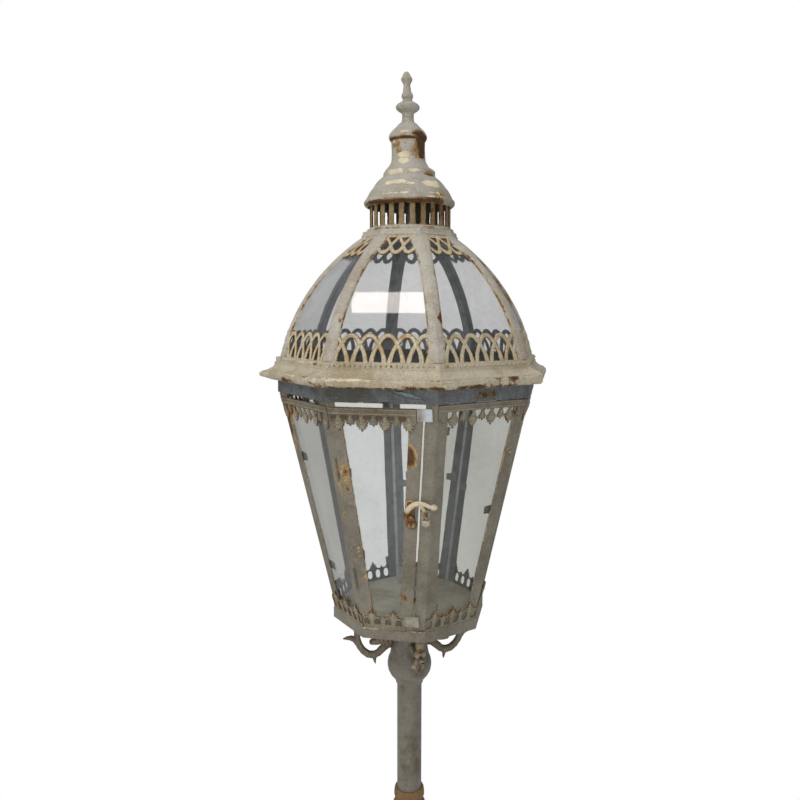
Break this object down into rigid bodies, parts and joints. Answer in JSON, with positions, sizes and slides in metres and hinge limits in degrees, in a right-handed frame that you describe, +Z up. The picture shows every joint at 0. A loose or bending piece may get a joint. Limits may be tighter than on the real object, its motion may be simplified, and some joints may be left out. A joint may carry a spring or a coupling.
{
  "type": "lantern floor lamp",
  "caption": "Octagonal glazed lantern with a domed glass roof, slotted vent, bell cap and finial on a tall tube pole with a round foot; the front door swings and has a drop latch",
  "frame": {"origin": "middle of the foot's underside, on the floor", "axes": "+Z up the pole, -Y towards the lantern door, +X to the right when facing the door"},
  "size_m": [0.32, 0.32, 1.7016],
  "materials": {
    "weathered_paint": "chalky warm grey-beige paint with chips, ochre edges and rust",
    "dark_paint": "matte grey-taupe paint, worn",
    "cast_paint": "painted cast iron, worn",
    "rusty_steel": "rust-brown, rough",
    "grey_metal": "blue-grey bare sheet, dull",
    "ochre_paint": "worn cream paint over brown",
    "zinc_steel": "dull zinc plate",
    "rubber_pad": "black felted rubber",
    "clear_glass": "thin clear glass with a faint grey tint"
  },
  "bodies": {
    "lantern": {"base_casting": "cast_paint", "base_pad": "rubber_pad", "base_collar": "rusty_steel", "base_stud": "zinc_steel", "base_washer": "zinc_steel", "base_nut": "zinc_steel", "lower_pole": "dark_paint", "pole_joiner": "zinc_steel", "pole_collar": "rusty_steel", "upper_pole": "dark_paint", "ball_socket": "dark_paint", "scroll_brackets": "dark_paint", "bracket_rivets": "rusty_steel", "bottom_band": "weathered_paint", "floor_plate": "grey_metal", "head_stud": "zinc_steel", "head_nut": "zinc_steel", "candle_cup": "zinc_steel", "corner_posts": "weathered_paint", "top_band": "grey_metal", "side_pane_1": "clear_glass", "side_pane_2": "clear_glass", "side_pane_3": "clear_glass", "side_pane_4": "clear_glass", "side_pane_5": "clear_glass", "side_pane_6": "clear_glass", "side_pane_7": "clear_glass", "side_top_frets": "weathered_paint", "side_bottom_frets": "weathered_paint", "glass_clips": "grey_metal", "hinge_leaves_post": "dark_paint", "hinge_pins": "rusty_steel", "latch_catch": "dark_paint", "roof_rim": "weathered_paint", "dome_ribs": "weathered_paint", "dome_panes": "clear_glass", "lower_fret": "weathered_paint", "upper_fret": "weathered_paint", "neck_plate": "weathered_paint", "vent_bridge": "grey_metal", "vent_colonnade": "weathered_paint", "bell_cap": "weathered_paint", "cap_crown": "weathered_paint", "finial": "weathered_paint", "finial_stud": "zinc_steel", "finial_nut": "zinc_steel"},
    "door": {"door_frame": "weathered_paint", "door_glass": "clear_glass", "door_top_fret": "weathered_paint", "door_bottom_fret": "weathered_paint", "door_tabs": "weathered_paint", "door_clips": "grey_metal", "hinge_leaves_door": "dark_paint", "latch_plate": "rusty_steel", "latch_pivot": "rusty_steel"},
    "latch": {"latch_lever": "ochre_paint"}
  },
  "joints": [
    {"name": "door_hinge", "type": "hinge", "parent": "lantern", "child": "door", "pos_m": [-0.04392, -0.1062, 1.22949], "axis": [0.087, 0.21, -0.9738], "range_deg": [0, 110]},
    {"name": "latch_turn", "type": "hinge", "parent": "door", "child": "latch", "pos_m": [0.02441, -0.11168, 1.24401], "axis": [0, -0.9775, -0.2108], "range_deg": [-9, 80]}
  ]
}
